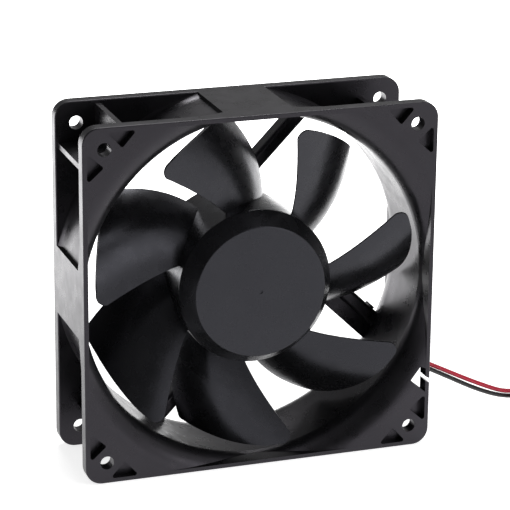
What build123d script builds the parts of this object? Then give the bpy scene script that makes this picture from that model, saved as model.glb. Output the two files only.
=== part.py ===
"""A 119 mm square, 38 mm deep axial case fan with a ball-bearing brushless motor.

Frame: millimetres, +Z up, the origin at the fan's centre. The rotor turns about the Y axis and the
hub side, where the air goes in, faces -Y. Depths along the axis are measured from the front face.
"""

import os
from math import cos, pi, radians, sin, tan

from build123d import *

# ---------------------------------------------------------------- housing dimensions
SIDE = 119.0
DEPTH = 38.0
CORNER_RADIUS = 5.5
FLANGE = 4.6
EDGE_RADIUS = 0.4
HOLE_SPACING = 104.8
HOLE_RADIUS = 2.25

THROAT_RADIUS = 57.7
DUCT_RADIUS = 59.1
MOUTH_RADIUS = 67.0
MOUTH_DEPTH = 8.0
EXIT_RADIUS = 62.0
EXIT_DEPTH = 8.0
RIM = 1.5
PAD_WIDTH = 23.0
RIB_THICKNESS = 1.8
RIB_PLACE = 45.2
LONG_RIB = 58.4
SHORT_RIB = 53.3

# blind triangular pockets beside each mounting hole
POCKET_SIDE = 9.8
POCKET_HEIGHT = 5.5
POCKET_PLACE = 46.6
POCKET_DEPTH = 3.2
POCKET_CORNER = 0.7

# notch for the leads: a kite-shaped hole with a slit to the edge, the same in both flanges
NOTCH = [(52.8, -36.5), (56.2, -31.9), (58.0, -32.6), (58.0, -41.0), (56.1, -39.4)]
SLIT = [(57.6, -35.2), (57.6, -36.7), (60.0, -38.2), (60.0, -36.6)]

# ---------------------------------------------------------------- struts and motor base
STRUT_TURN = -44.0
STRUT_COUNT = 4
STRUT_OFFSET = 17.7
STRUT_WIDTH = 4.8
STRUT_FRONT = 31.2
STRUT_REACH = 58.6
STRUT_END = 63.0
STRUT_EDGE = 1.3
HOOK_PLACE = 51.5
HOOK_SIZE = 1.6
HOOK_HEIGHT = 0.7
CHANNEL_LOW = 10.4
CHANNEL_FRONT = 32.6
SLOT_LOW = 11.65
SLOT_HIGH = 14.95
SLOT_FRONT = 34.2
SLOT_START = 18.2
SLOT_END = 63.6
CLIP_PLACES = [30.0, 42.0, 53.0]
CLIP_LENGTH = 2.2
CLIP_REACH = 2.1
CLIP_THICKNESS = 0.8
BASE_RADIUS = 25.5
BASE_INNER = 24.0
BASE_FLOOR = 35.8
BOSS_RADIUS = 9.6
BOSS_FRONT = 29.8
SHAFT_WELL = 5.5
LABEL_RADIUS = 21.2
LABEL_THICKNESS = 0.15
LABEL_RECESS = 0.25

# ---------------------------------------------------------------- impeller
HUB_RADIUS = 26.0
HUB_FACE_RADIUS = 21.9
HUB_FRONT = 1.5
HUB_SHOULDER = 7.5
HUB_BACK = 30.0
HUB_WALL = 1.75
HUB_INNER = 24.15
HUB_BOSS_RADIUS = 5.2
HUB_BOSS_BACK = 10.2
DIMPLE_RADIUS = 0.6
DIMPLE_DEPTH = 0.35
BLADE_COUNT = 7
BLADE_TIP = 55.1
BLADE_SPAN = 30.3
BLADE_THICKNESS = 1.9
BLADE_THINNING = 0.3
BLADE_EDGE = 0.55
ROOT_CAMBER = 0.07
TIP_CAMBER = 0.125
BLADE_FACING = radians(102)
BLADE_SECTIONS = [22.8, 29.0, 36.0, 43.0, 50.0, 57.5]
BLADE_STATIONS = [0.0, 0.12, 0.3, 0.5, 0.7, 0.88, 1.0]
FRONT_CORNER_RADIUS = 3.0
REAR_CORNER_RADIUS = 1.5
CORNER_LENGTH = 12.0

# ---------------------------------------------------------------- shaft, bearings, bearing tube
SHAFT_RADIUS = 2.0
SHAFT_FRONT = 4.0
SHAFT_BACK = 34.8
GROOVE_RADIUS = 1.5
GROOVE_FRONT = 33.2
GROOVE_BACK = 33.8
CLIP_RADIUS = 3.7
BEARING_RADIUS = 5.5
BEARING_WIDTH = 4.0
RACE_GAP = 0.03
BALL_RADIUS = 0.8
BALL_COUNT = 7
BALL_PITCH = (SHAFT_RADIUS + BEARING_RADIUS) / 2
INNER_SHOULDER = 3.25
OUTER_SHOULDER = 4.25
SHIELD_SEAT = 4.6
SHIELD_DEPTH = 0.3
SHIELD_THICKNESS = 0.2
CAGE_INNER = 3.45
CAGE_OUTER = 4.05
CAGE_WIDTH = 2.4
FRONT_BEARING = 13.1
REAR_BEARING = 28.4
TUBE_RADIUS = 7.25
TUBE_SHOULDER = 4.7
TUBE_FRONT = 12.6
TUBE_BACK = 36.0
SPRING_RADIUS = 2.7
SPRING_WIRE = 0.25
SPRING_PITCH = 1.0

# ---------------------------------------------------------------- magnetic circuit
YOKE_RADIUS = 24.1
YOKE_INNER = 22.8
YOKE_FRONT = 9.3
YOKE_DISC = 1.2
YOKE_BACK = 29.6
YOKE_BEVEL = 1.8
MAGNET_INNER = 20.4
MAGNET_FRONT = 12.6
MAGNET_BACK = 28.6
POLE_COUNT = 4
CORE_RADIUS = 20.0
CORE_HUB = 10.4
CORE_FRONT = 15.5
CORE_BACK = 25.5
TOOTH_WIDTH = 6.0
SHOE_INNER = 17.6
SLOT_OPENING = 2.6
INSULATOR = 1.0
GUARD_RADIUS = 18.7
GUARD_HEIGHT = 2.3
COLLAR_INNER = 8.6
WINDING_INNER = 10.9
WINDING_OUTER = 16.2
WINDING_HOLE = 6.6
WINDING_WIDTH = 12.4
WINDING_BUILD = 2.1
PIN_RADIUS = 0.4
PIN_PLACE = 19.25
PIN_TURN = 22.0

# ---------------------------------------------------------------- circuit board
BOARD_FRONT = 31.4
BOARD_BACK = 33.0
BOARD_RADIUS = 23.6
BOARD_HOLE = 9.9
SENSOR_PLACE = 21.4
SOLDER_RADIUS = 0.95
SOLDER_HEIGHT = 0.7

# ---------------------------------------------------------------- lead wires
LEAD_RADIUS = 0.78
LEAD_DEPTH = 35.0
LEAD_START = 12.5
LEAD_TURN = 64.0
STRAND_RADIUS = 0.4
STRAND_LENGTH = 5.0
JOINT_RADIUS = 1.1
JOINT_HEIGHT = 2.5
FLOOR = -SIDE / 2
TIE_THICKNESS = 0.4
TIE_WIDTH = 2.4
COIL_CENTRE = (114.0, 0.3)
COIL_RADIUS = 7.8
COIL_BUILD = 2 * LEAD_RADIUS

# Each lead: its place across the slot, its route from the notch to the coil, and from the coil to
# its end, with the level of its coil's underside above the floor.
LEADS = {
    "red": {
        "offset": 14.12,
        "route": [
            (58.31, 13.09, -35.74),
            (62.0, 8.7, -37.9),
            (75.5, 8.2, -44.7),
            (89.5, 8.1, -51.75),
            (101.5, 8.2, -56.9),
            (110.5, 8.8, -55.4),
        ],
        "tail": [
            (123.4, -2.0, -54.3),
            (124.5, -6.0, -57.2),
            (126.2, -9.8, -58.72),
            (128.2, -13.4, -58.72),
        ],
        "coil_level": TIE_THICKNESS + 2 * COIL_BUILD,
    },
    "black": {
        "offset": 12.48,
        "route": [
            (57.39, 12.53, -36.93),
            (61.4, 7.3, -39.1),
            (75.2, 6.95, -45.75),
            (89.0, 6.95, -53.1),
            (99.8, 7.3, -57.7),
            (109.5, 8.7, -58.5),
        ],
        "tail": [
            (122.9, -3.6, -57.1),
            (122.9, -7.2, -58.4),
            (123.2, -11.0, -58.72),
            (123.8, -15.0, -58.72),
        ],
        "coil_level": TIE_THICKNESS,
    },
}

os.makedirs("parts", exist_ok=True)


# ---------------------------------------------------------------- helpers
def at_depth(depth):
    """The plane across the axis at a depth behind the front face, facing forwards."""
    return Plane.XZ.offset(DEPTH / 2 - depth)


def turned_plane(depth, angle):
    """The same plane with its x direction turned by an angle from +X towards +Z."""
    x_dir = (cos(radians(angle)), 0, sin(radians(angle)))
    return Plane(origin=(0, depth - DEPTH / 2, 0), x_dir=x_dir, z_dir=(0, -1, 0))


def outline(*points):
    """(radius, depth) pairs as points of a half section in the XY plane."""
    return [(radius, depth - DEPTH / 2) for radius, depth in points]


def save(piece, name):
    piece.part.label = name
    export_step(piece.part, f"parts/{name}.step")


def save_ring(name, outer, inner, front, back):
    """A plain ring between two depths."""
    with BuildPart() as ring:
        with BuildSketch(at_depth(back)):
            Circle(outer)
            Circle(inner, mode=Mode.SUBTRACT)
        extrude(amount=back - front)
    save(ring, name)


def save_turned(name, *points):
    """A body of revolution about the axis from its half section."""
    with BuildPart() as turned:
        with BuildSketch(Plane.XY):
            with BuildLine():
                Polyline(*outline(*points), close=True)
            make_face()
        revolve(axis=Axis.Y)
    save(turned, name)


# ---------------------------------------------------------------- housing
# The duct's outer skin follows the flared ends inside it and is cut off at the flanges' edges.
with BuildPart() as duct:
    with BuildSketch(Plane.XY):
        with BuildLine():
            skin = outline((DUCT_RADIUS, DEPTH - EXIT_DEPTH - 1), (DUCT_RADIUS, MOUTH_DEPTH + 4.5))
            ends = outline(
                (MOUTH_RADIUS + 2.0, 2.0), (0, 2.0), (0, DEPTH - 2.0), (EXIT_RADIUS + 2.0, DEPTH - 2.0)
            )
            Line(*skin)
            Spline(skin[-1], ends[0], tangents=((0, -1), (1, -0.25)))
            Polyline(*ends)
            Spline(ends[-1], skin[0], tangents=((-1, -0.25), (0, -1)))
        make_face()
    revolve(axis=Axis.Y)
    with BuildSketch(at_depth(DEPTH - EDGE_RADIUS)):
        RectangleRounded(SIDE, SIDE, CORNER_RADIUS)
    extrude(amount=DEPTH - 2 * EDGE_RADIUS, mode=Mode.INTERSECT)

# The air passage: elliptical flares at both ends that leave a thin rim at the middle of each side.
with BuildPart() as passage:
    with BuildSketch(Plane.XY):
        with BuildLine():
            EllipticalCenterArc(
                outline((EXIT_RADIUS, DEPTH - EXIT_DEPTH))[0],
                EXIT_RADIUS - THROAT_RADIUS,
                EXIT_DEPTH,
                start_angle=90,
                arc_size=90,
            )
            Line(*outline((THROAT_RADIUS, DEPTH - EXIT_DEPTH), (THROAT_RADIUS, MOUTH_DEPTH)))
            EllipticalCenterArc(
                outline((MOUTH_RADIUS, MOUTH_DEPTH))[0],
                MOUTH_RADIUS - THROAT_RADIUS,
                MOUTH_DEPTH,
                start_angle=180,
                arc_size=90,
            )
            Polyline(*outline((MOUTH_RADIUS, 0), (0, 0), (0, DEPTH), (EXIT_RADIUS, DEPTH)))
        make_face()
    revolve(axis=Axis.Y)
    with BuildSketch(at_depth(DEPTH)):
        Rectangle(SIDE - 2 * RIM, SIDE - 2 * RIM)
    extrude(amount=DEPTH, mode=Mode.INTERSECT)


def strut_frame(turn):
    """The rear face with x along a strut, counted on from the strut that carries the leads."""
    return turned_plane(DEPTH, STRUT_TURN + turn * 360 / STRUT_COUNT)


# Struts, lead channel and motor base.
with BuildPart() as spider:
    with BuildSketch(at_depth(DEPTH)):
        Circle(BASE_RADIUS)
    extrude(amount=DEPTH - STRUT_FRONT)
    for turn in range(STRUT_COUNT):
        frame = strut_frame(turn)
        with BuildSketch(Plane(origin=frame.origin, x_dir=frame.y_dir, z_dir=frame.x_dir)):
            with Locations((STRUT_OFFSET, (DEPTH - STRUT_FRONT) / 2)):
                RectangleRounded(STRUT_WIDTH, DEPTH - STRUT_FRONT, STRUT_EDGE)
        extrude(amount=STRUT_END)
    with BuildSketch(strut_frame(0)):
        with Locations((STRUT_END / 2, (CHANNEL_LOW + STRUT_OFFSET) / 2)):
            Rectangle(STRUT_END, STRUT_OFFSET - CHANNEL_LOW)
    extrude(amount=DEPTH - CHANNEL_FRONT)
    # the struts end inside the duct's wall and, further back, inside the rear flange
    with BuildSketch(Plane.XY):
        with BuildLine():
            Polyline(
                *outline(
                    (0, STRUT_FRONT),
                    (STRUT_REACH, STRUT_FRONT),
                    (STRUT_REACH, DEPTH - FLANGE),
                    (STRUT_END, DEPTH - FLANGE),
                    (STRUT_END, DEPTH),
                    (0, DEPTH),
                ),
                close=True,
            )
        make_face()
    revolve(axis=Axis.Y, mode=Mode.INTERSECT)
    with BuildSketch(at_depth(BASE_FLOOR)):
        Circle(BASE_INNER)
    extrude(amount=BASE_FLOOR, mode=Mode.SUBTRACT)

with BuildPart() as housing:
    for back in (FLANGE, DEPTH):
        with BuildSketch(at_depth(back)):
            RectangleRounded(SIDE, SIDE, CORNER_RADIUS)
        extrude(amount=FLANGE)
    fillet(housing.edges().filter_by(Axis.Y, reverse=True), EDGE_RADIUS)
    add(duct.part)
    with BuildSketch(at_depth(DEPTH - EDGE_RADIUS)):
        Rectangle(PAD_WIDTH, SIDE)
        Rectangle(SIDE, PAD_WIDTH)
        # two ribs to each corner, long ones in the corners at the top left and bottom right
        for right, upper in ((-1, 1), (1, 1), (1, -1), (-1, -1)):
            rib = LONG_RIB if right * upper < 0 else SHORT_RIB
            with Locations((right * RIB_PLACE, upper * rib / 2)):
                Rectangle(RIB_THICKNESS, rib)
            with Locations((right * rib / 2, upper * RIB_PLACE)):
                Rectangle(rib, RIB_THICKNESS)
    extrude(amount=DEPTH - 2 * EDGE_RADIUS)
    add(passage.part, mode=Mode.SUBTRACT)
    add(spider.part)
    # mounting holes through both flanges
    with BuildSketch(at_depth(DEPTH)):
        with GridLocations(HOLE_SPACING, HOLE_SPACING, 2, 2):
            Circle(HOLE_RADIUS)
    extrude(amount=DEPTH, mode=Mode.SUBTRACT)
    # triangular pockets in the front flange, two beside each hole
    with BuildSketch(at_depth(POCKET_DEPTH)):
        base = SIDE / 2 - RIM
        half = POCKET_SIDE / 2
        for turn in range(4):
            for side in (-POCKET_PLACE, POCKET_PLACE):
                with BuildLine():
                    FilletPolyline(
                        Vector(side - half, base).rotate(Axis.Z, 90 * turn),
                        Vector(side + half, base).rotate(Axis.Z, 90 * turn),
                        Vector(side, base - POCKET_HEIGHT).rotate(Axis.Z, 90 * turn),
                        radius=POCKET_CORNER,
                        close=True,
                    )
                make_face()
    extrude(amount=POCKET_DEPTH, mode=Mode.SUBTRACT)
    # lead notch and its slit in both flanges
    for back in (FLANGE, DEPTH):
        with BuildSketch(at_depth(back)):
            for shape in (NOTCH, SLIT):
                with BuildLine():
                    Polyline(*shape, close=True)
                make_face()
        extrude(amount=FLANGE, mode=Mode.SUBTRACT)
    # slot that carries the leads from the motor base to the notch, open to the rear
    with BuildSketch(strut_frame(0)):
        with Locations(((SLOT_START + SLOT_END) / 2, (SLOT_LOW + SLOT_HIGH) / 2)):
            Rectangle(SLOT_END - SLOT_START, SLOT_HIGH - SLOT_LOW)
    extrude(amount=DEPTH - SLOT_FRONT, mode=Mode.SUBTRACT)
    # clips over the slot
    for place in CLIP_PLACES:
        with BuildSketch(strut_frame(0)):
            with Locations((place, SLOT_LOW + CLIP_REACH / 2)):
                Rectangle(CLIP_LENGTH, CLIP_REACH)
        extrude(amount=CLIP_THICKNESS)
    # small hook on the side of the strut
    with BuildSketch(turned_plane(DEPTH - STRUT_EDGE, STRUT_TURN)):
        with Locations((HOOK_PLACE, STRUT_OFFSET + STRUT_WIDTH / 2)):
            Rectangle(HOOK_SIZE, 2 * HOOK_HEIGHT)
    extrude(amount=DEPTH - STRUT_FRONT - 2 * STRUT_EDGE)
    # boss for the bearing tube, the well behind the shaft and the label's recess
    with BuildSketch(at_depth(BASE_FLOOR)):
        Circle(BOSS_RADIUS)
    extrude(amount=BASE_FLOOR - BOSS_FRONT)
    for radius, back in ((SHAFT_WELL, DEPTH), (TUBE_RADIUS, TUBE_BACK)):
        with BuildSketch(at_depth(back)):
            Circle(radius)
        extrude(amount=back - BOSS_FRONT, mode=Mode.SUBTRACT)
    with BuildSketch(at_depth(DEPTH)):
        Circle(LABEL_RADIUS + 0.1)
    extrude(amount=LABEL_RECESS, mode=Mode.SUBTRACT)
save(housing, "housing")
save_ring(
    "rear_label",
    LABEL_RADIUS,
    0.5,
    DEPTH - LABEL_RECESS,
    DEPTH - LABEL_RECESS + LABEL_THICKNESS,
)


# ---------------------------------------------------------------- impeller
def blade_edges(radius):
    """Angle and depth of a blade's leading (front) and trailing (rear) edge at a radius."""
    span = (radius - HUB_RADIUS) / BLADE_SPAN
    leading = (radians(110 + 31.3 * span - 14.5 * span**2 + 3.2 * span**3), 11.2 - 10.4 * span)
    trailing = (radians(70.6 + 23.3 * span + 4.9 * span**2 - 2.5 * span**3), 26.6 + 1.6 * span)
    return leading, trailing


def camber_point(radius, share):
    """Angle and depth of the blade's middle surface, from its leading to its trailing edge."""
    (angle_a, depth_a), (angle_b, depth_b) = blade_edges(radius)
    run = radius * (angle_b - angle_a)
    rise = depth_b - depth_a
    camber = ROOT_CAMBER + (TIP_CAMBER - ROOT_CAMBER) * (radius - HUB_RADIUS) / BLADE_SPAN
    bulge = camber * 4 * share * (1 - share)
    angle = angle_a + (run * share - rise * bulge) / radius
    depth = depth_a + rise * share + run * bulge
    return angle, depth


def section_point(distance, share):
    """The middle surface in a flat section at a distance from the axis, as (across, y)."""
    radius = distance
    for _ in range(12):
        angle, depth = camber_point(radius, share)
        radius = distance / cos(angle - BLADE_FACING)
    return Vector(distance * tan(angle - BLADE_FACING), depth - DEPTH / 2)


def section_sides(distance):
    """Points of a section's front and back sides, thick in the middle and thin at the edges."""
    thinning = 1 - BLADE_THINNING * (distance - HUB_RADIUS) / BLADE_SPAN
    sides = [], []
    for share in BLADE_STATIONS:
        point = section_point(distance, share)
        step = section_point(distance, share + 0.01) - section_point(distance, share - 0.01)
        normal = Vector(-step.Y, step.X).normalized()
        thickness = BLADE_EDGE + (BLADE_THICKNESS * thinning - BLADE_EDGE) * sin(pi * share)
        sides[0].append(point + normal * thickness / 2)
        sides[1].append(point - normal * thickness / 2)
    return sides


def blade_point(radius, share):
    angle, depth = camber_point(radius, share)
    return Vector(radius * cos(angle), depth - DEPTH / 2, radius * sin(angle))


def tip_corner(share, inward, radius):
    """The plane of a blade's tip corner and, in it, the end points of its two sides."""
    corner = blade_point(BLADE_TIP, share)
    along_tip = (blade_point(BLADE_TIP, share + inward * 0.2) - corner).normalized()
    along_edge = (blade_point(BLADE_TIP - CORNER_LENGTH, share) - corner).normalized()
    plane = Plane(origin=corner, x_dir=along_tip, z_dir=along_tip.cross(along_edge))
    edge_end = plane.to_local_coords(corner + along_edge * CORNER_LENGTH)
    tip_end = Vector(CORNER_LENGTH, 0)
    away = -(edge_end + tip_end).normalized() * CORNER_LENGTH
    return plane, [edge_end, Vector(0, 0), tip_end], [tip_end, tip_end + away, edge_end + away, edge_end]


with BuildPart() as blade:
    outwards = Vector(cos(BLADE_FACING), 0, sin(BLADE_FACING))
    across = Vector(-sin(BLADE_FACING), 0, cos(BLADE_FACING))
    for distance in BLADE_SECTIONS:
        front_side, back_side = section_sides(distance)
        with BuildSketch(Plane(origin=outwards * distance, x_dir=across, z_dir=-outwards)):
            with BuildLine():
                Spline(*front_side)
                Line(front_side[-1], back_side[-1])
                Spline(*reversed(back_side))
                Line(back_side[0], front_side[0])
            make_face()
    loft()
    with BuildSketch(at_depth(DEPTH)):
        Circle(BLADE_TIP)
    extrude(amount=DEPTH, mode=Mode.INTERSECT)
    for share, inward, radius in ((0, 1, FRONT_CORNER_RADIUS), (1, -1, REAR_CORNER_RADIUS)):
        plane, rounded, outside = tip_corner(share, inward, radius)
        with BuildSketch(plane):
            with BuildLine():
                FilletPolyline(*rounded, radius=radius)
                Polyline(*outside)
            make_face()
        extrude(amount=CORNER_LENGTH / 2, both=True, mode=Mode.SUBTRACT)

with BuildPart() as impeller:
    with BuildSketch(Plane.XY):
        with BuildLine():
            FilletPolyline(
                *outline(
                    (0, HUB_FRONT),
                    (HUB_FACE_RADIUS, HUB_FRONT),
                    (HUB_RADIUS, HUB_SHOULDER),
                    (HUB_RADIUS, HUB_BACK),
                ),
                radius=[0.5, 1.2],
            )
            Polyline(*outline((HUB_RADIUS, HUB_BACK), (0, HUB_BACK), (0, HUB_FRONT)))
        make_face()
    revolve(axis=Axis.Y)
    for index in range(BLADE_COUNT):
        add(blade.part.rotate(Axis.Y, index * 360 / BLADE_COUNT))
    # cavity for the rotor yoke, around the boss that holds the shaft
    with BuildSketch(Plane.XY):
        with BuildLine():
            Polyline(
                *outline(
                    (HUB_BOSS_RADIUS, HUB_FRONT + HUB_WALL),
                    (HUB_FACE_RADIUS - 1.3, HUB_FRONT + HUB_WALL),
                    (HUB_INNER, HUB_SHOULDER + 1.4),
                    (HUB_INNER, HUB_BACK),
                    (0, HUB_BACK),
                    (0, HUB_BOSS_BACK),
                    (HUB_BOSS_RADIUS, HUB_BOSS_BACK),
                ),
                close=True,
            )
        make_face()
    revolve(axis=Axis.Y, mode=Mode.SUBTRACT)
    with BuildSketch(at_depth(HUB_BOSS_BACK)):
        Circle(SHAFT_RADIUS)
    extrude(amount=HUB_BOSS_BACK - SHAFT_FRONT, mode=Mode.SUBTRACT)
    with BuildSketch(at_depth(HUB_FRONT + DIMPLE_DEPTH)):
        Circle(DIMPLE_RADIUS)
    extrude(amount=DIMPLE_DEPTH, mode=Mode.SUBTRACT)
save(impeller, "impeller")

# ---------------------------------------------------------------- rotor
save_turned(
    "rotor_yoke",
    (HUB_BOSS_RADIUS, YOKE_FRONT),
    (YOKE_RADIUS - YOKE_BEVEL, YOKE_FRONT),
    (YOKE_RADIUS, YOKE_FRONT + YOKE_BEVEL),
    (YOKE_RADIUS, YOKE_BACK),
    (YOKE_INNER, YOKE_BACK),
    (YOKE_INNER, YOKE_FRONT + YOKE_BEVEL + YOKE_DISC / 2),
    (YOKE_INNER - YOKE_BEVEL + YOKE_DISC / 2, YOKE_FRONT + YOKE_DISC),
    (HUB_BOSS_RADIUS, YOKE_FRONT + YOKE_DISC),
)
save_ring("magnet_ring", YOKE_INNER, MAGNET_INNER, MAGNET_FRONT, MAGNET_BACK)
save_turned(
    "shaft",
    (0, SHAFT_FRONT),
    (SHAFT_RADIUS, SHAFT_FRONT),
    (SHAFT_RADIUS, GROOVE_FRONT),
    (GROOVE_RADIUS, GROOVE_FRONT),
    (GROOVE_RADIUS, GROOVE_BACK),
    (SHAFT_RADIUS, GROOVE_BACK),
    (SHAFT_RADIUS, SHAFT_BACK - 0.4),
    (SHAFT_RADIUS - 0.4, SHAFT_BACK),
    (0, SHAFT_BACK),
)
with BuildPart() as retaining_clip:
    with BuildSketch(at_depth(GROOVE_BACK - 0.05)):
        Circle(CLIP_RADIUS)
        Circle(GROOVE_RADIUS, mode=Mode.SUBTRACT)
        with Locations((0, -CLIP_RADIUS)):
            Rectangle(1.8 * GROOVE_RADIUS, 2 * CLIP_RADIUS, mode=Mode.SUBTRACT)
        with PolarLocations(GROOVE_RADIUS + 0.6, 2, start_angle=35, angular_range=110, endpoint=True):
            Circle(0.7, mode=Mode.SUBTRACT)
    extrude(amount=GROOVE_BACK - GROOVE_FRONT - 0.1)
save(retaining_clip, "retaining_clip")
save_ring(
    "thrust_washer",
    INNER_SHOULDER,
    SHAFT_RADIUS,
    REAR_BEARING + BEARING_WIDTH + 0.02,
    REAR_BEARING + BEARING_WIDTH + 0.5,
)
with BuildPart() as preload_spring:
    with BuildLine() as coils:
        Helix(
            SPRING_PITCH,
            FRONT_BEARING - HUB_BOSS_BACK - 2 * SPRING_WIRE - 0.04,
            SPRING_RADIUS,
            center=at_depth(FRONT_BEARING - SPRING_WIRE - 0.02).origin,
            direction=(0, -1, 0),
        )
    with BuildSketch(Plane(origin=coils.line @ 0, z_dir=coils.line % 0)):
        Circle(SPRING_WIRE)
    sweep(path=coils.line, is_frenet=True)
save(preload_spring, "preload_spring")


# ---------------------------------------------------------------- ball bearings
def save_bearing(place, front):
    """The five pieces of a shielded ball bearing whose front face is at a depth."""
    back = front + BEARING_WIDTH
    middle = front + BEARING_WIDTH / 2
    race = outline((BALL_PITCH, middle))[0]
    with BuildPart() as outer_ring:
        with BuildSketch(Plane.XY):
            with BuildLine():
                Polyline(
                    *outline(
                        (BEARING_RADIUS, front),
                        (BEARING_RADIUS, back),
                        (SHIELD_SEAT, back),
                        (SHIELD_SEAT, back - SHIELD_DEPTH),
                        (OUTER_SHOULDER, back - SHIELD_DEPTH),
                        (OUTER_SHOULDER, front + SHIELD_DEPTH),
                        (SHIELD_SEAT, front + SHIELD_DEPTH),
                        (SHIELD_SEAT, front),
                    ),
                    close=True,
                )
            make_face()
            with Locations(race):
                Circle(BALL_RADIUS + RACE_GAP, mode=Mode.SUBTRACT)
        revolve(axis=Axis.Y)
    save(outer_ring, f"{place}_bearing_outer_ring")
    with BuildPart() as inner_ring:
        with BuildSketch(Plane.XY):
            with Locations(outline(((SHAFT_RADIUS + INNER_SHOULDER) / 2, middle))[0]):
                Rectangle(INNER_SHOULDER - SHAFT_RADIUS, BEARING_WIDTH)
            with Locations(race):
                Circle(BALL_RADIUS + RACE_GAP, mode=Mode.SUBTRACT)
        revolve(axis=Axis.Y)
    save(inner_ring, f"{place}_bearing_inner_ring")
    with BuildPart(at_depth(middle)) as balls:
        with PolarLocations(BALL_PITCH, BALL_COUNT):
            Sphere(BALL_RADIUS)
    save(balls, f"{place}_bearing_balls")
    with BuildPart() as cage:
        with BuildSketch(at_depth(middle + CAGE_WIDTH / 2)):
            Circle(CAGE_OUTER)
            Circle(CAGE_INNER, mode=Mode.SUBTRACT)
        extrude(amount=CAGE_WIDTH)
        for index in range(BALL_COUNT):
            turned = turned_plane(middle, index * 360 / BALL_COUNT)
            with BuildSketch(Plane(origin=turned.origin, x_dir=turned.y_dir, z_dir=turned.x_dir)):
                Circle(BALL_RADIUS + RACE_GAP)
            extrude(amount=BALL_PITCH * 1.5, mode=Mode.SUBTRACT)
    save(cage, f"{place}_bearing_cage")
    with BuildPart() as shields:
        for shield_back in (front + SHIELD_DEPTH, back - SHIELD_DEPTH + SHIELD_THICKNESS):
            with BuildSketch(at_depth(shield_back)):
                Circle(SHIELD_SEAT)
                Circle(INNER_SHOULDER + 0.05, mode=Mode.SUBTRACT)
            extrude(amount=SHIELD_THICKNESS)
    save(shields, f"{place}_bearing_shields")


save_bearing("front", FRONT_BEARING)
save_bearing("rear", REAR_BEARING)
save_turned(
    "bearing_tube",
    (TUBE_RADIUS, TUBE_FRONT),
    (TUBE_RADIUS, TUBE_BACK),
    (BEARING_RADIUS, TUBE_BACK),
    (BEARING_RADIUS, REAR_BEARING),
    (TUBE_SHOULDER, REAR_BEARING),
    (TUBE_SHOULDER, FRONT_BEARING + BEARING_WIDTH),
    (BEARING_RADIUS, FRONT_BEARING + BEARING_WIDTH),
    (BEARING_RADIUS, TUBE_FRONT),
)


# ---------------------------------------------------------------- stator
def pole_plan(clearance):
    """The plan of the four-pole stator: bore, teeth and pole shoes."""
    with BuildSketch() as plan:
        Circle(CORE_RADIUS - clearance)
        Circle(SHOE_INNER, mode=Mode.SUBTRACT)
        with PolarLocations(CORE_RADIUS, POLE_COUNT, start_angle=45):
            Rectangle(CORE_RADIUS, SLOT_OPENING, mode=Mode.SUBTRACT)
        Circle(CORE_HUB)
        with PolarLocations((CORE_HUB + SHOE_INNER) / 2, POLE_COUNT):
            Rectangle(SHOE_INNER - CORE_HUB + 1.0, TOOTH_WIDTH)
        Circle(TUBE_RADIUS, mode=Mode.SUBTRACT)
    return plan.sketch


with BuildPart() as stator_core:
    with BuildSketch(at_depth(CORE_BACK)):
        add(pole_plan(0))
    extrude(amount=CORE_BACK - CORE_FRONT)
save(stator_core, "stator_core")

for place, plate_back, wall_back in (
    ("front", CORE_FRONT, CORE_FRONT - INSULATOR),
    ("rear", CORE_BACK + INSULATOR, CORE_BACK + INSULATOR + GUARD_HEIGHT),
):
    with BuildPart() as insulator:
        with BuildSketch(at_depth(plate_back)):
            add(pole_plan(0.3))
        extrude(amount=INSULATOR)
        # an inner collar and outer guards keep the windings in place
        with BuildSketch(at_depth(wall_back)):
            Circle(GUARD_RADIUS)
            Circle(SHOE_INNER, mode=Mode.SUBTRACT)
            with PolarLocations(CORE_RADIUS, POLE_COUNT, start_angle=45):
                Rectangle(CORE_RADIUS, SLOT_OPENING, mode=Mode.SUBTRACT)
            Circle(CORE_HUB)
            Circle(COLLAR_INNER, mode=Mode.SUBTRACT)
        extrude(amount=GUARD_HEIGHT)
    save(insulator, f"{place}_insulator")

for index in range(POLE_COUNT):
    turned = turned_plane((CORE_FRONT + CORE_BACK) / 2, index * 360 / POLE_COUNT)
    start = turned.origin + turned.x_dir * WINDING_INNER
    hole_length = CORE_BACK - CORE_FRONT + 2 * INSULATOR + 0.1
    with BuildPart() as winding:
        with BuildSketch(Plane(origin=start, x_dir=turned.y_dir, z_dir=turned.x_dir)):
            RectangleRounded(WINDING_WIDTH, hole_length + 2 * WINDING_BUILD, 2.0)
            Rectangle(WINDING_HOLE, hole_length, mode=Mode.SUBTRACT)
        extrude(amount=WINDING_OUTER - WINDING_INNER)
    save(winding, f"winding_{index + 1}")

with BuildPart() as winding_pins:
    with BuildSketch(at_depth(BOARD_BACK)):
        with PolarLocations(PIN_PLACE, POLE_COUNT, start_angle=PIN_TURN):
            Circle(PIN_RADIUS)
    extrude(amount=BOARD_BACK - CORE_BACK - INSULATOR)
save(winding_pins, "winding_pins")

# ---------------------------------------------------------------- circuit board
with BuildPart() as circuit_board:
    with BuildSketch(at_depth(BOARD_BACK)):
        Circle(BOARD_RADIUS)
        Circle(BOARD_HOLE, mode=Mode.SUBTRACT)
        with PolarLocations(PIN_PLACE, POLE_COUNT, start_angle=PIN_TURN):
            Circle(PIN_RADIUS + 0.1, mode=Mode.SUBTRACT)
    extrude(amount=BOARD_BACK - BOARD_FRONT)
save(circuit_board, "circuit_board")


def save_chips(name, places, length, width, height, depth=BOARD_BACK):
    """Box-shaped components on the board's rear, or in front of it, at (radius, angle) places."""
    with BuildPart() as chips:
        for radius, angle in places:
            with BuildSketch(at_depth(depth + height)):
                with PolarLocations(radius, 1, start_angle=angle):
                    Rectangle(width, length)
            extrude(amount=height, taper=4)
    save(chips, name)


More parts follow.
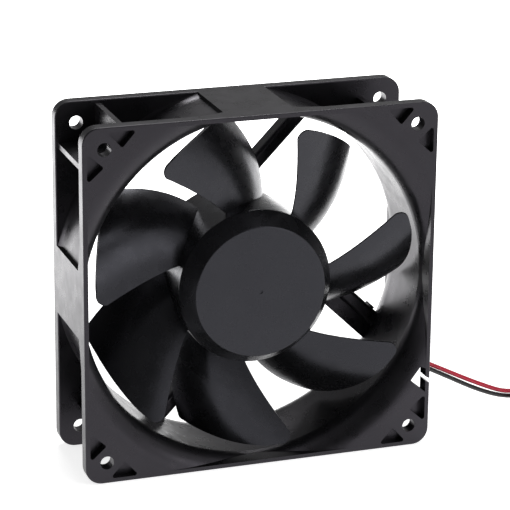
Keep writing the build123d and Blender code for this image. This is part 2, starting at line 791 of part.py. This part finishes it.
save_chips("hall_sensor", [(SENSOR_PLACE, 45)], 4.0, 1.6, 1.3, BOARD_FRONT - 1.3)
save_chips("driver_chip", [(16.2, 205)], 5.0, 4.0, 1.5)
save_chips("chip_resistors", [(14.0, 60), (14.0, 80), (19.5, 250), (14.5, 265)], 2.0, 1.2, 0.5)
save_chips("diode", [(15.5, 285)], 2.8, 1.6, 1.1)
with BuildPart() as capacitor:
    with BuildSketch(at_depth(BOARD_BACK + 2.4)):
        with PolarLocations(15.5, 1, start_angle=140):
            Circle(2.2)
    extrude(amount=2.4)
save(capacitor, "capacitor")


# ---------------------------------------------------------------- lead wires
def in_slot(along, offset, depth):
    """A point of the lead slot: along the strut, across it and behind the front face."""
    frame = strut_frame(0)
    return frame.x_dir * along + frame.y_dir * offset + Vector(0, depth - DEPTH / 2, 0)


with BuildPart() as solder_joints:
    with BuildSketch(at_depth(BOARD_BACK + SOLDER_HEIGHT)):
        with PolarLocations(PIN_PLACE, POLE_COUNT, start_angle=PIN_TURN):
            Circle(SOLDER_RADIUS / 2)
    extrude(amount=SOLDER_HEIGHT, taper=-30)
    for lead in LEADS.values():
        foot = in_slot(LEAD_START - JOINT_RADIUS, lead["offset"], BOARD_BACK)
        with BuildSketch(Plane(origin=foot, z_dir=(0, 1, 0))):
            Circle(JOINT_RADIUS - 0.35)
        extrude(amount=JOINT_HEIGHT)
save(solder_joints, "solder_joints")


def corner_radii(points):
    """Arcs as large as the runs beside them allow: 0.45 of the shorter run at every corner."""
    radii = []
    for before, corner, after in zip(points, points[1:], points[2:]):
        first = corner - before
        second = after - corner
        half_turn = radians(first.get_angle(second)) / 2
        radii.append(0.45 * min(first.length, second.length) / tan(half_turn))
    return radii


def tube(points, name):
    """A lead's insulation along straight runs joined by tangent arcs, as a solid."""
    points = [Vector(*point) for point in points]
    radii = corner_radii(points)
    with BuildPart() as run:
        with BuildLine() as path:
            FilletPolyline(*points, radius=radii)
        with BuildSketch(Plane(origin=path.line @ 0, z_dir=path.line % 0)):
            Circle(LEAD_RADIUS)
        sweep(path=path.line)
    length = sum(edge.length for edge in path.line.edges())
    share = run.part.volume / (pi * LEAD_RADIUS**2 * length)
    print(name, "length", round(length, 1), "volume share", round(share, 3))
    print("   radii", [round(radius, 1) for radius in radii])
    return run.part


for colour, lead in LEADS.items():
    held_route = [
        in_slot(LEAD_START, lead["offset"], LEAD_DEPTH),
        in_slot(LEAD_TURN, lead["offset"], LEAD_DEPTH),
        lead["route"][0],
    ]
    print(colour, "turns into the notch at", held_route[1])
    held_run = tube(held_route, f"held {colour}")
    with BuildPart() as held_lead:
        add(held_run)
    save(held_lead, f"{colour}_lead_in_slot")
    free_run = tube(lead["route"], f"free {colour}")
    tail_run = tube(lead["tail"], f"tail {colour}")
    with BuildPart() as free_lead:
        add(free_run)
        add(tail_run)
    save(free_lead, f"{colour}_lead")
    with BuildPart() as coil:
        with BuildSketch(Plane.XY.offset(FLOOR + lead["coil_level"])):
            with Locations(COIL_CENTRE):
                Circle(COIL_RADIUS + COIL_BUILD)
                Circle(COIL_RADIUS - COIL_BUILD, mode=Mode.SUBTRACT)
        extrude(amount=2 * COIL_BUILD)
    save(coil, f"{colour}_lead_coil")
    before, end = [Vector(*point) for point in lead["tail"][-2:]]
    with BuildPart() as bare_end:
        with BuildSketch(Plane(origin=end, z_dir=end - before)):
            Circle(STRAND_RADIUS)
        extrude(amount=STRAND_LENGTH)
    save(bare_end, f"{colour}_lead_end")


# a tie round both coils, on the side that faces forwards
with BuildPart() as coil_tie:
    window = 2 * COIL_BUILD + 0.3
    with BuildSketch(Plane.YZ.offset(COIL_CENTRE[0] - TIE_WIDTH / 2)):
        with Locations((COIL_CENTRE[1] - COIL_RADIUS, FLOOR + TIE_THICKNESS + 2 * COIL_BUILD)):
            Rectangle(window + 2 * TIE_THICKNESS, 4 * COIL_BUILD + 2 * TIE_THICKNESS)
            Rectangle(window, 4 * COIL_BUILD, mode=Mode.SUBTRACT)
    extrude(amount=TIE_WIDTH)
    with BuildSketch(Plane.YZ.offset(COIL_CENTRE[0] - TIE_WIDTH / 2 - 0.4)):
        edge = COIL_CENTRE[1] - COIL_RADIUS - window / 2 - TIE_THICKNESS
        with Locations((edge - 0.9, FLOOR + 2 * COIL_BUILD)):
            Rectangle(1.8, 3.0)
    extrude(amount=TIE_WIDTH + 0.8)
save(coil_tie, "coil_tie")
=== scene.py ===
"""Case fan: looks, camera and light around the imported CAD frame. Metres, +Z up, hub side -Y."""

import math

import bpy
from mathutils import Matrix, Vector


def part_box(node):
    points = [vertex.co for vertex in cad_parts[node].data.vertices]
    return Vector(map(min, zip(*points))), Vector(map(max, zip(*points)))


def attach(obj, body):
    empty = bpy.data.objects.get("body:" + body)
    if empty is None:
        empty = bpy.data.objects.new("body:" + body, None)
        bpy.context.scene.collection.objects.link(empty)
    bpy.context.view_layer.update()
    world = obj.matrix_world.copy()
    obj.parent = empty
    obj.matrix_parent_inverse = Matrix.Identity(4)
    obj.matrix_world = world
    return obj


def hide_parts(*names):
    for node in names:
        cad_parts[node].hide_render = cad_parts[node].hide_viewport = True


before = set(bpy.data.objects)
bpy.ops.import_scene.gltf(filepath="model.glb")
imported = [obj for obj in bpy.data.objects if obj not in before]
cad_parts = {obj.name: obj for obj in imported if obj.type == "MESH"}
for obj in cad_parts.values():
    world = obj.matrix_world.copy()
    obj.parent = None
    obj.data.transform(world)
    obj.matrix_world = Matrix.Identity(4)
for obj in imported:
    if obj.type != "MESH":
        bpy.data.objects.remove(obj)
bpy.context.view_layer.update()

MM = 0.001

# ---------------------------------------------------------------- camera
AZIMUTH = math.radians(-19.18)
ELEVATION = math.radians(18.46)
ROLL = math.radians(0.60)
DISTANCE = 0.7839
FRONT_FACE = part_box("housing")[0].y
AIM = Vector((-0.00278, FRONT_FACE, 0.01334))
LENS = 172.93


def make_camera():
    """A long lens, turned to the left of the fan's axis and looking down on it."""
    back = Vector(
        (
            math.sin(AZIMUTH) * math.cos(ELEVATION),
            -math.cos(AZIMUTH) * math.cos(ELEVATION),
            math.sin(ELEVATION),
        )
    )
    right = (-back).cross(Vector((0, 0, 1))).normalized()
    up = right.cross(-back)
    rolled_right = right * math.cos(ROLL) + up * math.sin(ROLL)
    rolled_up = up * math.cos(ROLL) - right * math.sin(ROLL)
    data = bpy.data.cameras.new("camera")
    data.lens = LENS
    data.sensor_width = 36
    data.clip_start = 0.01
    data.clip_end = 20
    camera = bpy.data.objects.new("camera", data)
    bpy.context.scene.collection.objects.link(camera)
    turn = Matrix((rolled_right, rolled_up, back)).transposed().to_4x4()
    camera.matrix_world = Matrix.Translation(AIM + back * DISTANCE) @ turn
    bpy.context.scene.camera = camera


make_camera()

# ---------------------------------------------------------------- leads
LEAD_DIAMETER = 0.00156
FLOOR_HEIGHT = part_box("housing")[0].z
TIE_THICKNESS = 0.0004
COIL_CENTRE = Vector((0.114, 0.0003, 0))
COIL_RADIUS = 0.0078
TURN_POINTS = 16
COIL_START = 96
COIL_END = 2
STEP_OVER = 0.8
CORD_SMOOTHNESS = 6

# Each lead's route from the notch to the coil and from the coil to its end, and the level of its
# coil's underside above the floor.
LEADS = {
    "red": {
        "route": [
            (0.05831, 0.01309, -0.03574),
            (0.0620, 0.0087, -0.0379),
            (0.0755, 0.0082, -0.0447),
            (0.0895, 0.0081, -0.05175),
            (0.1015, 0.0082, -0.0569),
            (0.1105, 0.0088, -0.0554),
        ],
        "tail": [
            (0.1234, -0.0020, -0.0543),
            (0.1245, -0.0060, -0.0572),
            (0.1262, -0.0098, -0.05872),
            (0.1282, -0.0134, -0.05872),
        ],
        "coil_level": TIE_THICKNESS + 2 * LEAD_DIAMETER,
    },
    "black": {
        "route": [
            (0.05739, 0.01253, -0.03693),
            (0.0614, 0.0073, -0.0391),
            (0.0752, 0.00695, -0.0461),
            (0.0890, 0.00695, -0.0536),
            (0.0998, 0.0073, -0.0577),
            (0.1095, 0.0087, -0.0585),
        ],
        "tail": [
            (0.1229, -0.0036, -0.0571),
            (0.1229, -0.0072, -0.0584),
            (0.1232, -0.0110, -0.05872),
            (0.1238, -0.0150, -0.05872),
        ],
        "coil_level": TIE_THICKNESS,
    },
}


def coil_points(level):
    """Four and a quarter turns, two wide and two high, clockwise seen from above.

    Outer and inner turn of the lower layer, then inner and outer turn of the upper one. The last
    fifth of a turn steps over to the next.
    """
    inner = COIL_RADIUS - LEAD_DIAMETER / 2
    outer = COIL_RADIUS + LEAD_DIAMETER / 2
    low = FLOOR_HEIGHT + level + LEAD_DIAMETER / 2
    high = low + LEAD_DIAMETER
    turns = [(outer, low), (inner, low), (inner, high), (outer, high), (outer, high)]
    points = []
    count = round(TURN_POINTS * (len(turns) - 1 + (COIL_START - COIL_END) / 360))
    for step in range(1, count):
        turn, share = divmod(step / TURN_POINTS, 1)
        radius, height = turns[int(turn)]
        if share > STEP_OVER and turn < len(turns) - 1:
            blend = (share - STEP_OVER) / (1 - STEP_OVER)
            radius += (turns[int(turn) + 1][0] - radius) * blend
            height += (turns[int(turn) + 1][1] - height) * blend
        angle = math.radians(COIL_START) - 2 * math.pi * step / TURN_POINTS
        around = Vector((math.cos(angle), math.sin(angle), 0)) * radius
        points.append(COIL_CENTRE + around + Vector((0, 0, height)))
    return points


def make_lead(colour, lead):
    """The free part of one lead: one round cord from the notch to its stripped end."""
    points = [Vector(point) for point in lead["route"]]
    points += coil_points(lead["coil_level"])
    points += [Vector(point) for point in lead["tail"]]
    curve = bpy.data.curves.new(f"{colour}_lead_cord", "CURVE")
    curve.dimensions = "3D"
    # The points' own radius gives the thickness, which keeps the curve's box tight too.
    curve.bevel_depth = 1
    curve.bevel_resolution = CORD_SMOOTHNESS
    curve.resolution_u = CORD_SMOOTHNESS
    curve.use_fill_caps = True
    spline = curve.splines.new("NURBS")
    spline.points.add(len(points) - 1)
    for slot, point in zip(spline.points, points):
        slot.co = (*point, 1)
        slot.radius = LEAD_DIAMETER / 2
    spline.order_u = 3
    spline.use_endpoint_u = True
    cord = bpy.data.objects.new(f"{colour}_lead_cord", curve)
    bpy.context.scene.collection.objects.link(cord)
    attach(cord, "frame")
    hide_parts(f"{colour}_lead", f"{colour}_lead_coil")
    return cord


cords = {colour: make_lead(colour, lead) for colour, lead in LEADS.items()}


# ---------------------------------------------------------------- materials
class Nodes:
    """A new material with short calls for the nodes that these materials share."""

    def __init__(self, name):
        self.material = bpy.data.materials.new(name)
        self.material.use_nodes = True
        self.tree = self.material.node_tree
        self.shader = self.tree.nodes["Principled BSDF"]
        self.place = self.tree.nodes.new("ShaderNodeTexCoord").outputs["Object"]

    def link(self, output, socket):
        self.tree.links.new(output, socket)

    def noise(self, scale, detail=4.0, stretch=(1, 1, 1)):
        """Noise of a size in features per metre, stretched along an axis if asked."""
        mapping = self.tree.nodes.new("ShaderNodeMapping")
        mapping.inputs["Scale"].default_value = stretch
        self.link(self.place, mapping.inputs["Vector"])
        noise = self.tree.nodes.new("ShaderNodeTexNoise")
        noise.inputs["Scale"].default_value = scale
        noise.inputs["Detail"].default_value = detail
        self.link(mapping.outputs["Vector"], noise.inputs["Vector"])
        return noise.outputs["Fac"]

    def ramp(self, value, *stops):
        """A ramp from (position, colour or grey) stops."""
        ramp = self.tree.nodes.new("ShaderNodeValToRGB")
        elements = ramp.color_ramp.elements
        while len(elements) < len(stops):
            elements.new(0.5)
        for element, (position, colour) in zip(elements, stops):
            if isinstance(colour, (int, float)):
                colour = (colour,) * 3
            element.position = position
            element.color = (*colour, 1)
        self.link(value, ramp.inputs["Fac"])
        return ramp.outputs["Color"]

    def bump(self, height, distance, strength):
        """Bump of a depth in metres."""
        bump = self.tree.nodes.new("ShaderNodeBump")
        bump.inputs["Distance"].default_value = distance
        bump.inputs["Strength"].default_value = strength
        self.link(height, bump.inputs["Height"])
        return bump.outputs["Normal"]


def moulded(
    name, colour, roughness, grain=2200, grain_depth=0.000015, variation=0.25, gloss_tint=(1, 1, 1)
):
    """Injection-moulded plastic: fine spark-eroded grain, and faint cloudy variation of shade.

    The tint colours only what it reflects head-on.
    """
    nodes = Nodes(name)
    cloud = nodes.noise(60, 3)
    dark = [channel * (1 - variation) for channel in colour]
    light = [channel * (1 + variation) for channel in colour]
    nodes.link(nodes.ramp(cloud, (0.3, dark), (0.7, light)), nodes.shader.inputs["Base Color"])
    smear = nodes.noise(190, 5)
    low, high = roughness - 0.05, roughness + 0.06
    nodes.link(nodes.ramp(smear, (0.3, low), (0.7, high)), nodes.shader.inputs["Roughness"])
    fine = nodes.bump(nodes.noise(grain, 2), grain_depth, 0.6)
    nodes.link(fine, nodes.shader.inputs["Normal"])
    nodes.shader.inputs["Specular Tint"].default_value = (*gloss_tint, 1)
    return nodes.material


def metal(name, colour, roughness, stretch=(1, 1, 1)):
    """Turned, ground or pressed metal, with fine tool marks along the stretched axis."""
    nodes = Nodes(name)
    marks = nodes.noise(1800, 3, stretch)
    dull = [channel * 0.8 for channel in colour]
    nodes.link(nodes.ramp(marks, (0.3, dull), (0.7, colour)), nodes.shader.inputs["Base Color"])
    low, high = roughness - 0.06, roughness + 0.08
    nodes.link(nodes.ramp(marks, (0.3, low), (0.7, high)), nodes.shader.inputs["Roughness"])
    nodes.link(nodes.bump(marks, 0.000008, 0.5), nodes.shader.inputs["Normal"])
    nodes.shader.inputs["Metallic"].default_value = 1.0
    return nodes.material


def insulation(name, colour):
    """Glossy PVC insulation with a faintly uneven drawn surface."""
    nodes = Nodes(name)
    drawn = nodes.noise(500, 3)
    dark = [channel * 0.85 for channel in colour]
    nodes.link(nodes.ramp(drawn, (0.3, dark), (0.7, colour)), nodes.shader.inputs["Base Color"])
    nodes.link(nodes.ramp(drawn, (0.3, 0.10), (0.7, 0.16)), nodes.shader.inputs["Roughness"])
    nodes.link(nodes.bump(drawn, 0.00001, 0.5), nodes.shader.inputs["Normal"])
    return nodes.material


looks = {
    "housing": moulded(
        "housing_plastic", (0.007, 0.007, 0.0076), 0.29, gloss_tint=(0.93, 0.87, 1.0)
    ),
    "impeller": moulded(
        "impeller_plastic", (0.008, 0.0081, 0.0088), 0.27, gloss_tint=(0.85, 0.85, 0.98)
    ),
    "rear_label": moulded("label_film", (0.10, 0.10, 0.105), 0.30, 900, 0.000008, 0.08),
    "bearing_tube": metal("turned_brass", (0.75, 0.55, 0.26), 0.30, (1, 12, 1)),
    "rotor_yoke": metal("plated_steel", (0.56, 0.56, 0.52), 0.34),
    "magnet_ring": moulded("bonded_magnet", (0.035, 0.03, 0.028), 0.6, 1500, 0.00002),
    "stator_core": metal("core_sheets", (0.30, 0.30, 0.31), 0.42, (1, 20, 1)),
    "circuit_board": moulded("board_mask", (0.02, 0.16, 0.05), 0.35, 900, 0.00001, 0.12),
    "capacitor": metal("capacitor_can", (0.75, 0.75, 0.77), 0.28),
    "coil_tie": moulded("tie_nylon", (0.025, 0.025, 0.026), 0.42),
}
steel = metal("bearing_steel", (0.62, 0.62, 0.63), 0.18, (1, 14, 1))
solder = metal("bright_solder", (0.72, 0.72, 0.70), 0.24)
copper = metal("enamelled_copper", (0.62, 0.22, 0.08), 0.25, (6, 1, 6))
chip = moulded("chip_package", (0.025, 0.025, 0.026), 0.5, 1800, 0.00001)
cream = moulded("insulator_plastic", (0.62, 0.60, 0.53), 0.42, 1500, 0.00001, 0.06)
cage = moulded("cage_plastic", (0.26, 0.17, 0.08), 0.45)
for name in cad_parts:
    if name in looks:
        continue
    if "lead" in name and "end" not in name:
        continue
    if "cage" in name:
        looks[name] = cage
    elif "bearing" in name or name in ("shaft", "retaining_clip", "preload_spring", "thrust_washer"):
        looks[name] = steel
    elif "winding" in name and "pins" not in name:
        looks[name] = copper
    elif "insulator" in name:
        looks[name] = cream
    elif name in ("winding_pins", "solder_joints") or name.endswith("_end"):
        looks[name] = solder
    else:
        looks[name] = chip
red = insulation("red_insulation", (0.56, 0.010, 0.040))
black = insulation("black_insulation", (0.006, 0.006, 0.0065))
for colour, material in (("red", red), ("black", black)):
    cords[colour].data.materials.append(material)
    looks[f"{colour}_lead_in_slot"] = material
for name, material in looks.items():
    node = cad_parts[name]
    for slot in node.material_slots:
        slot.material = material

# ---------------------------------------------------------------- floor and light
FLOOR_SIZE = 6.0
FLOOR_GAP = 0.0001

# Brightness that changes along one axis, as (axis, start, end, level at start, level at end):
# the floor's own glow by place, and the surroundings by direction.
FLOOR_GLOW = [
    ("Y", FRONT_FACE - 0.16, FRONT_FACE - 0.04, 0.45, 0.78),
    ("Y", 0.05, 0.30, 0.0, 1.7),
]
STUDIO_GLOW = [
    ("Y", -0.5, 0.2, 0.05, 0.0),
    ("Y", -0.2, 0.5, 0.0, 0.18),
    ("X", 0.2, 0.8, 0.0, 0.5),
    ("Z", 0.5, 1.0, 0.0, 0.15),
]

# Each softbox as (place, power in watts), all of one size and aimed at the fan.
SOFTBOX_SIZE = 0.6
SOFTBOXES = {
    "softbox_right": ((0.8, -1.0, 0.7), 2.1),
    "softbox_low_right": ((0.5, -1.2, 0.15), 1.4),
    "softbox_left": ((-1.1, 0.5, 0.15), 2.0),
    "softbox_back": ((0.2, 0.8, 1.1), 8.0),
    "softbox_top": ((0.35, -0.4, 1.1), 1.4),
}


def summed(tree, vector, glows):
    """The sum of several smooth changes of brightness along the axes of a vector."""
    split = tree.nodes.new("ShaderNodeSeparateXYZ")
    tree.links.new(vector, split.inputs["Vector"])
    total = None
    for axis, start, end, first, last in glows:
        ramp = tree.nodes.new("ShaderNodeMapRange")
        ramp.interpolation_type = "SMOOTHSTEP"
        ramp.inputs["From Min"].default_value = start
        ramp.inputs["From Max"].default_value = end
        ramp.inputs["To Min"].default_value = first
        ramp.inputs["To Max"].default_value = last
        tree.links.new(split.outputs[axis], ramp.inputs["Value"])
        if total is None:
            total = ramp.outputs["Result"]
            continue
        plus = tree.nodes.new("ShaderNodeMath")
        tree.links.new(total, plus.inputs[0])
        tree.links.new(ramp.outputs["Result"], plus.inputs[1])
        total = plus.outputs["Value"]
    return total


def make_floor():
    """A plain pale floor that glows a little, so that it stays white round the fan."""
    mesh = bpy.data.meshes.new("floor")
    half = FLOOR_SIZE / 2
    height = FLOOR_HEIGHT - FLOOR_GAP
    corners = [(-half, -half), (half, -half), (half, half), (-half, half)]
    mesh.from_pydata([(x, y, height) for x, y in corners], [], [(0, 1, 2, 3)])
    nodes = Nodes("floor_paper")
    paper = nodes.noise(40, 3)
    nodes.link(nodes.ramp(paper, (0.3, 0.90), (0.7, 0.93)), nodes.shader.inputs["Base Color"])
    nodes.shader.inputs["Roughness"].default_value = 0.9
    nodes.shader.inputs["Specular IOR Level"].default_value = 0.1
    nodes.shader.inputs["Emission Color"].default_value = (1, 1, 1, 1)
    glow = summed(nodes.tree, nodes.place, FLOOR_GLOW)
    nodes.link(glow, nodes.shader.inputs["Emission Strength"])
    mesh.materials.append(nodes.material)
    floor = bpy.data.objects.new("floor", mesh)
    bpy.context.scene.collection.objects.link(floor)


def make_softbox(name, place, power):
    """A square soft light at a place, aimed at the middle of the fan."""
    data = bpy.data.lights.new(name, "AREA")
    data.shape = "SQUARE"
    data.size = SOFTBOX_SIZE
    data.energy = power
    light = bpy.data.objects.new(name, data)
    bpy.context.scene.collection.objects.link(light)
    light.location = place
    light.rotation_euler = (-Vector(place)).to_track_quat("-Z", "Y").to_euler()


def make_light():
    """Dim surroundings, brighter behind and on the right, and softboxes all round."""
    world = bpy.data.worlds.new("studio")
    bpy.context.scene.world = world
    world.use_nodes = True
    tree = world.node_tree
    background = tree.nodes["Background"]
    direction = tree.nodes.new("ShaderNodeTexCoord").outputs["Generated"]
    tree.links.new(summed(tree, direction, STUDIO_GLOW), background.inputs["Strength"])
    background.inputs["Color"].default_value = (1, 1, 1, 1)
    for name, (place, power) in SOFTBOXES.items():
        make_softbox(name, place, power)


make_floor()
make_light()
bpy.context.scene.view_settings.view_transform = "Standard"

bpy.context.view_layer.update()
